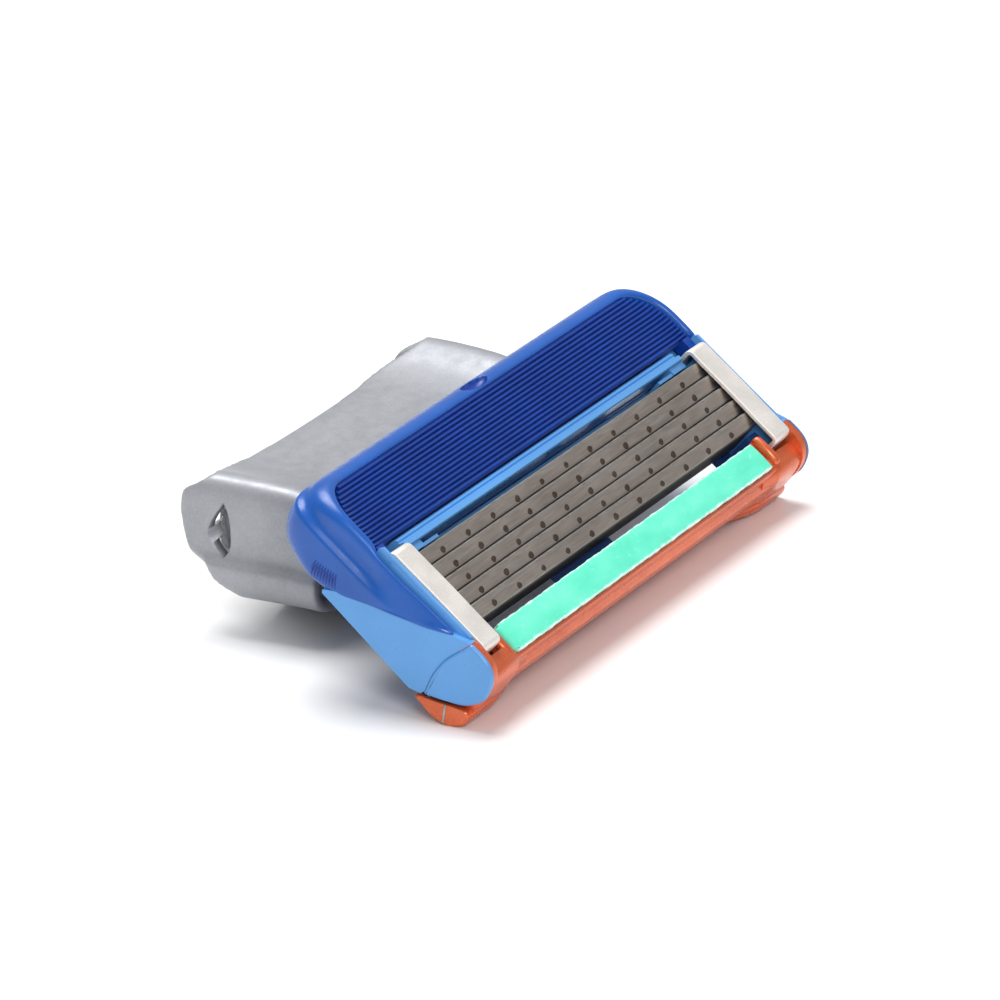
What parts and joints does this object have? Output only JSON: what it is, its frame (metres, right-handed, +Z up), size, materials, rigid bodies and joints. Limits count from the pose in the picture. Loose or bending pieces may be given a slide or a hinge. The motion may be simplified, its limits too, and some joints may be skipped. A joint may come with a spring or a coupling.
{
  "type": "razor cartridge",
  "caption": "Pivoting razor head: floating blades under clips, ribbed guard, lubricating strip, edge trimmer and a flared yoke that docks on a handle.",
  "frame": {"origin": "bottom centre of the whole head as it lies on a table, on its yoke and its trimmer edge", "axes": "+X along the blades, +Y out of the yoke's docking mouth towards the handle, +Z up"},
  "size_m": [0.0418, 0.0241, 0.0123],
  "materials": {
    "silver_plastic": "satin silver paint",
    "pale_blue_plastic": "satin moulded",
    "navy_elastomer": "soft satin, ribbed",
    "blade_steel": "fine satin",
    "support_steel": "satin",
    "clip_aluminium": "fine bead-blasted",
    "mint_strip": "waxy",
    "copper_plastic": "metallic pigment"
  },
  "bodies": {
    "yoke": {"connecting_yoke": "silver_plastic"},
    "blade_unit": {"blade_housing": "pale_blue_plastic", "guard_elastomer": "navy_elastomer", "blade_clip_left": "clip_aluminium", "blade_clip_right": "clip_aluminium", "lubricating_strip": "mint_strip", "trimmer_carrier": "copper_plastic", "trimmer_blade_support": "support_steel", "trimmer_blade": "blade_steel"},
    "floating_blade_1": {"blade_support_1": "support_steel", "blade_1": "blade_steel"},
    "floating_blade_2": {"blade_support_2": "support_steel", "blade_2": "blade_steel"},
    "floating_blade_3": {"blade_support_3": "support_steel", "blade_3": "blade_steel"},
    "floating_blade_4": {"blade_support_4": "support_steel", "blade_4": "blade_steel"},
    "floating_blade_5": {"blade_support_5": "support_steel", "blade_5": "blade_steel"}
  },
  "joints": [
    {"name": "blade_unit_pivot", "type": "hinge", "parent": "yoke", "child": "blade_unit", "pos_m": [0, -0.00227, 0.00762], "axis": [1, 0, 0], "range_deg": [0, 40]},
    {"name": "blade_1_float", "type": "slide", "parent": "blade_unit", "child": "floating_blade_1", "axis": [0, 0.6307, -0.776], "range_m": [0, 0.0003], "stiffness_N_per_m": 500, "springref_m": -0.0001},
    {"name": "blade_2_float", "type": "slide", "parent": "blade_unit", "child": "floating_blade_2", "axis": [0, 0.6307, -0.776], "range_m": [0, 0.0003], "stiffness_N_per_m": 500, "springref_m": -0.0001},
    {"name": "blade_3_float", "type": "slide", "parent": "blade_unit", "child": "floating_blade_3", "axis": [0, 0.6307, -0.776], "range_m": [0, 0.0003], "stiffness_N_per_m": 500, "springref_m": -0.0001},
    {"name": "blade_4_float", "type": "slide", "parent": "blade_unit", "child": "floating_blade_4", "axis": [0, 0.6307, -0.776], "range_m": [0, 0.0003], "stiffness_N_per_m": 500, "springref_m": -0.0001},
    {"name": "blade_5_float", "type": "slide", "parent": "blade_unit", "child": "floating_blade_5", "axis": [0, 0.6307, -0.776], "range_m": [0, 0.0003], "stiffness_N_per_m": 500, "springref_m": -0.0001}
  ]
}
